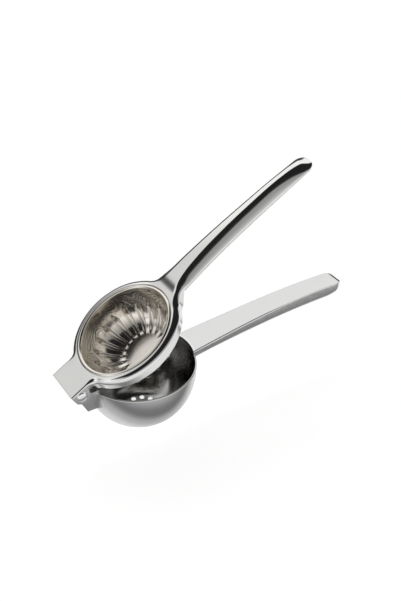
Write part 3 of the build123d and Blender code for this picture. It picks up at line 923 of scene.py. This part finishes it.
def make_bowl():
    outer = bowl_wall_profile(0, 60)
    inner = bowl_wall_profile(BOWL_WALL, 60)
    half = BOWL_WALL / 2
    rim = arc((BOWL_INNER_RADIUS + half, BOWL_DEPTH - half), half, 0, pi, 13)
    bottom = [(r, 0.0) for r in np.linspace(BOWL_BASE_RADIUS, 0, 8)[1:]]
    floor = [(r, BOWL_WALL) for r in np.linspace(0, BOWL_BASE_RADIUS, 8)[:-1]]
    wall_out = [p for p in outer if p[1] < BOWL_DEPTH - half]
    wall_in = [p for p in inner if p[1] < BOWL_DEPTH - half]
    profile = bottom[::-1] + wall_out[::-1] + rim + wall_in + floor[::-1]
    shell = Shell()
    revolve(shell, profile, 192)
    base = object_from(shell, "bowl_blank", "bowl_arm", BOWL_STEEL, place=False)
    values = {"Material": BOWL_STEEL, "Hole Radius": STRAINER_HOLE_RADIUS * MM}
    for number, (radius, count) in enumerate(STRAINER_RINGS):
        values[f"Ring {number} Radius"] = radius * MM
        values[f"Ring {number} Count"] = count
    piece = grown(base, make_strainer_nodes(), "strainer_bowl", values)
    # faces inside the bowl take the darker copy of its steel: painted shade in the hollow
    piece.data.materials.append(BOWL_INSIDE_SHADED_STEEL)
    for face in piece.data.polygons:
        outward = Vector((face.center.x, face.center.y, face.center.z - BOWL_DEPTH * MM))
        inside_wall = hypot(face.center.x, face.center.y) < BOWL_INNER_RADIUS * MM
        face.material_index = int(inside_wall and face.normal.dot(outward) < INSIDE_FACING * outward.length)
    belongs(piece, "bowl_arm", "bowl")


# --- the lower handle -------------------------------------------------------------------------------
def lower_top(x):
    """Height of the top line: one arch from the bowl to the tip, straighter towards the bowl."""
    back = (LOWER_CREST_ALONG - x) / (LOWER_CREST_ALONG - LOWER_ROOT_ALONG)
    fall = (1 + LOWER_ROOT_LEAN) * back**2 - LOWER_ROOT_LEAN * back**3
    return LOWER_CREST_TOP - LOWER_ROOT_FALL * fall


lower_depth = curve_through([(76, 6.6), (85, 6.7), (135, 8.4), (175, 9.3), (198, 9.3)])


def lower_grid():
    """Cross lines from the bowl's inner wall to the tip; the first ones follow the wall."""
    radius = BOWL_INNER_RADIUS + LOWER_ROOT_GAP
    root = BOWL_AXIS + radius
    x, y = handle_grid(root, LOWER_TIP_RADIUS)
    bend = radius - np.sqrt(radius**2 - y**2)
    return x - bend * (1 - smooth_step(root, root + LOWER_ROOT_STRAIGHTENING, x)), y


def make_lower_handle():
    x, y = lower_grid()
    inward = from_handle_edge(x, y, LOWER_TIP_RADIUS)
    crispness = 1 - LOWER_EDGE_SOFTENED * smooth_step(*LOWER_EDGE_SOFTENING, x)
    bevel_radius, bevel_width = LOWER_EDGE_BEVEL
    end = lower_top(x) - rounding(HANDLE_TIP - x, LOWER_END_ROUNDING, LOWER_END_DROP)
    seam = end - COVER_THICKNESS
    top = end - eased_bevel(inward, bevel_radius * crispness, bevel_width * crispness)
    shell = Shell()
    slab(shell, x, y, np.maximum(top, seam + COVER_LEAST_THICKNESS), seam)
    cover = object_from(shell, "lower_handle_top", "bowl_arm", COVER_STEEL)
    belongs(cover, "bowl_arm", "lower_handle_cover")

    belly = lower_top(x) - lower_depth(x) + rounding(HANDLE_TIP - x, LOWER_TIP_SWEEP, LOWER_TIP_RISE)
    side_inset = LOWER_SIDE_INSET * (1 - smooth_step(*LOWER_SIDE_FLUSH, x))
    y = y * (1 - side_inset / half_width(x))
    under = belly + rounding(inward, LOWER_BELLY_RADIUS, LOWER_BELLY_RADIUS * LOWER_BELLY_SHARE)
    shell = Shell()
    slab(shell, x, y, seam - COVER_GAP, np.minimum(under, seam - COVER_GAP))
    # the trough's sides and belly get the darker copy of the steel: painted shade
    body = object_from(shell, "lower_handle_trough", "bowl_arm", SHADED_SIDE_STEEL)
    belongs(body, "bowl_arm", "lower_handle_shell")


# --- rivet ------------------------------------------------------------------------------------------
def dome(count):
    """A rivet head's profile from its seat to its middle, as (radius, height)."""
    rise = RIVET_HEAD_HEIGHT - RIVET_HEAD_EDGE
    return [(RIVET_HEAD_RADIUS, 0.0)] + [
        (RIVET_HEAD_RADIUS * cos(a), RIVET_HEAD_EDGE + rise * sin(a)) for a in np.linspace(0, pi / 2, count)
    ]


def make_rivet():
    shell = Shell()
    head = [(radius, -PLATE_HALF_WIDTH - height) for radius, height in dome(20)]
    shank = [(RIVET_RADIUS, -PLATE_HALF_WIDTH), (RIVET_RADIUS, PLATE_HALF_WIDTH), (0.0, PLATE_HALF_WIDTH)]
    revolve(shell, head[::-1] + shank, 72, about_y=True)
    rivet = object_from(shell, "rivet_near_head", "press_arm", RIVET_STEEL)
    belongs(rivet, "press_arm", "hinge_rivet")
    shell = Shell()
    cap = [(radius, PLATE_HALF_WIDTH + height) for radius, height in dome(20)]
    revolve(shell, [(0.0, PLATE_HALF_WIDTH)] + cap, 72, about_y=True)
    far = object_from(shell, "rivet_far_head", "press_arm", RIVET_STEEL)
    belongs(far, "press_arm", "rivet_cap")


def paint_carried_nodes():
    finishes = {"hinge_lug": BOWL_STEEL, "washer_near": RIVET_STEEL, "washer_far": RIVET_STEEL}
    for node, material in finishes.items():
        for slot in frame["nodes"][node].material_slots:
            slot.material = material


make_press_frame()
make_upper_cover()
make_press_cup()
make_bowl()
make_lower_handle()
make_rivet()
paint_carried_nodes()


# --- floor, light and camera ------------------------------------------------------------------------
CAMERA_AZIMUTH = radians(-30.47)
CAMERA_ELEVATION = radians(34.63)
CAMERA_ROLL = radians(-0.9)
CAMERA_DISTANCE = 0.6
CAMERA_ASIDE = (0.0384, 0.0392)
CAMERA_LENS = 57.87
SENSOR = 36.0

FLOOR_HALF_SIZE = 3.0
FLOOR_GLOW = 0.78


def make_camera():
    back = Vector(
        (
            sin(CAMERA_AZIMUTH) * cos(CAMERA_ELEVATION),
            -cos(CAMERA_AZIMUTH) * cos(CAMERA_ELEVATION),
            sin(CAMERA_ELEVATION),
        )
    )
    level_right = Vector((0, 0, 1)).cross(back).normalized()
    level_up = back.cross(level_right)
    right = cos(CAMERA_ROLL) * level_right + sin(CAMERA_ROLL) * level_up
    up = back.cross(right)
    target = Vector((0, 0, BOWL_DEPTH * MM))
    data = bpy.data.cameras.new("camera")
    data.sensor_fit = "VERTICAL"
    data.sensor_height = SENSOR
    data.lens = CAMERA_LENS
    data.clip_start = 0.01
    camera = bpy.data.objects.new("camera", data)
    place = target + CAMERA_DISTANCE * back + CAMERA_ASIDE[0] * right + CAMERA_ASIDE[1] * up
    turn = Matrix((right, up, back)).transposed().to_4x4()
    camera.matrix_world = Matrix.Translation(place) @ turn
    bpy.context.scene.collection.objects.link(camera)
    bpy.context.scene.camera = camera


# how bright steel sees the floor, by the distance in front of the bowl's middle, or twice that to its left
FLOOR_RAMP = (
    (0.0, 0.90),
    (0.018, 0.85),
    (0.030, 0.55),
    (0.042, 0.20),
    (0.050, 0.22),
    (0.060, 0.34),
    (0.067, 0.44),
    (0.082, 0.66),
    (0.105, 0.80),
)
FLOOR_RAMP_SQUEEZE = (0.5, 1, 1)
FLOOR_BACK_EDGE = (0.09, 0.17)  # behind the bowl's middle
FLOOR_BACK_LIGHT = 0.06

# the tent, by direction: x is to the right, y to the back, z up, and the tilt is in degrees from overhead
# towards the back
OPENING_FRONT_EDGE = (-45, -35)
OPENING_BACK_EDGE = (26, 34)
OPENING_LEFT_EDGE = (-0.97, -0.86)
OPENING_DARKNESS = 0.985
FRONT_SHADE_EDGE = (-92, -38)
FRONT_DARKNESS = 0.72
HORIZON_BACK_EDGE = (0.2, 0.5)
HORIZON_TOP_EDGE = (0.26, 0.42)
HORIZON_DARKNESS = 0.94
LEFT_BACK_SIDE_EDGE = (-0.36, -0.16)
LEFT_BACK_EDGE = (0.3, 0.6)
LEFT_BACK_DARKNESS = 0.27
TENT_TONE = (1.0, 0.998, 0.99)


def make_floor():
    """A pale floor. Steel sees it darker close by and far behind, as under a light tent."""
    mesh = bpy.data.meshes.new("floor")
    half = FLOOR_HALF_SIZE
    corners = [(-half, -half, 0), (half, -half, 0), (half, half, 0), (-half, half, 0)]
    mesh.from_pydata(corners, [], [(0, 1, 2, 3)])
    floor = bpy.data.objects.new("floor", mesh)
    bpy.context.scene.collection.objects.link(floor)
    material = bpy.data.materials.new("floor_paper")
    material.use_nodes = True
    nodes, links = material.node_tree.nodes, material.node_tree.links
    nodes.clear()
    output = nodes.new("ShaderNodeOutputMaterial")
    paper = nodes.new("ShaderNodeBsdfDiffuse")
    paper.inputs["Color"].default_value = (0.8, 0.8, 0.8, 1)
    glow = nodes.new("ShaderNodeEmission")
    glow.inputs["Strength"].default_value = FLOOR_GLOW
    seen = nodes.new("ShaderNodeAddShader")
    mirrored = nodes.new("ShaderNodeEmission")
    choose = nodes.new("ShaderNodeMixShader")
    path = nodes.new("ShaderNodeLightPath")
    place = nodes.new("ShaderNodeTexCoord")
    plan = nodes.new("ShaderNodeMapping")
    plan.inputs["Scale"].default_value = FLOOR_RAMP_SQUEEZE
    aside = nodes.new("ShaderNodeVectorMath")
    aside.operation = "MINIMUM"
    aside.inputs[1].default_value = (0, 0, 0)
    away = nodes.new("ShaderNodeVectorMath")
    away.operation = "LENGTH"
    depth = nodes.new("ShaderNodeMapRange")
    depth.inputs["From Max"].default_value = FLOOR_RAMP[-1][0]
    near = nodes.new("ShaderNodeValToRGB")
    near.color_ramp.interpolation = "EASE"
    stops = near.color_ramp.elements
    for distance, _ in FLOOR_RAMP[1:-1]:
        stops.new(distance / FLOOR_RAMP[-1][0])
    for stop, (_, strength) in zip(stops, FLOOR_RAMP):
        stop.color = (strength, strength, strength, 1)
    parts = nodes.new("ShaderNodeSeparateXYZ")
    links.new(place.outputs["Object"], parts.inputs["Vector"])
    links.new(place.outputs["Object"], plan.inputs["Vector"])
    links.new(plan.outputs["Vector"], aside.inputs[0])
    links.new(aside.outputs["Vector"], away.inputs[0])
    links.new(away.outputs["Value"], depth.inputs["Value"])
    links.new(depth.outputs["Result"], near.inputs["Fac"])
    maths = NodeMaths(material.node_tree)
    fading = maths.step(parts.outputs["Y"], *FLOOR_BACK_EDGE, 1.0, FLOOR_BACK_LIGHT)
    links.new(maths("MULTIPLY", near.outputs["Color"], fading), mirrored.inputs["Strength"])
    links.new(paper.outputs["BSDF"], seen.inputs[0])
    links.new(glow.outputs["Emission"], seen.inputs[1])
    links.new(path.outputs["Is Glossy Ray"], choose.inputs["Fac"])
    links.new(seen.outputs["Shader"], choose.inputs[1])
    links.new(mirrored.outputs["Emission"], choose.inputs[2])
    links.new(choose.outputs["Shader"], output.inputs["Surface"])
    mesh.materials.append(material)


def make_light_tent():
    """A white tent with a dark opening overhead and in front, and a dark line along the horizon behind."""
    world = bpy.data.worlds.new("light_tent")
    bpy.context.scene.world = world
    world.use_nodes = True
    nodes, links = world.node_tree.nodes, world.node_tree.links
    sky = nodes["Background"]
    place = nodes.new("ShaderNodeTexCoord")
    parts = nodes.new("ShaderNodeSeparateXYZ")
    links.new(place.outputs["Generated"], parts.inputs["Vector"])
    maths = NodeMaths(world.node_tree)
    step = maths.step
    x, y, z = parts.outputs
    tilt = maths("DEGREES", maths("ARCTAN2", y, z))
    opening = maths("MULTIPLY", step(tilt, *OPENING_FRONT_EDGE), step(tilt, *OPENING_BACK_EDGE, 1.0, 0.0))
    opening = maths("MULTIPLY", opening, step(x, *OPENING_LEFT_EDGE))
    front = maths("MULTIPLY", step(tilt, *OPENING_FRONT_EDGE, 1.0, 0.0), step(tilt, *FRONT_SHADE_EDGE))
    horizon = maths("MULTIPLY", step(y, *HORIZON_BACK_EDGE), step(z, *HORIZON_TOP_EDGE, 1.0, 0.0))
    left_back = maths("MULTIPLY", step(x, *LEFT_BACK_SIDE_EDGE, 1.0, 0.0), step(y, *LEFT_BACK_EDGE))
    light = 1.0
    for mask, darkness in (
        (opening, OPENING_DARKNESS),
        (horizon, HORIZON_DARKNESS),
        (front, FRONT_DARKNESS),
        (left_back, LEFT_BACK_DARKNESS),
    ):
        light = maths("MULTIPLY", light, maths("SUBTRACT", 1.0, maths("MULTIPLY", mask, darkness)))
    path = nodes.new("ShaderNodeLightPath")
    light = maths("MAXIMUM", light, path.outputs["Is Camera Ray"])
    links.new(light, sky.inputs["Strength"])
    sky.inputs["Color"].default_value = (*TENT_TONE, 1)


make_floor()
make_light_tent()
make_camera()
bpy.context.scene.view_settings.view_transform = "Standard"
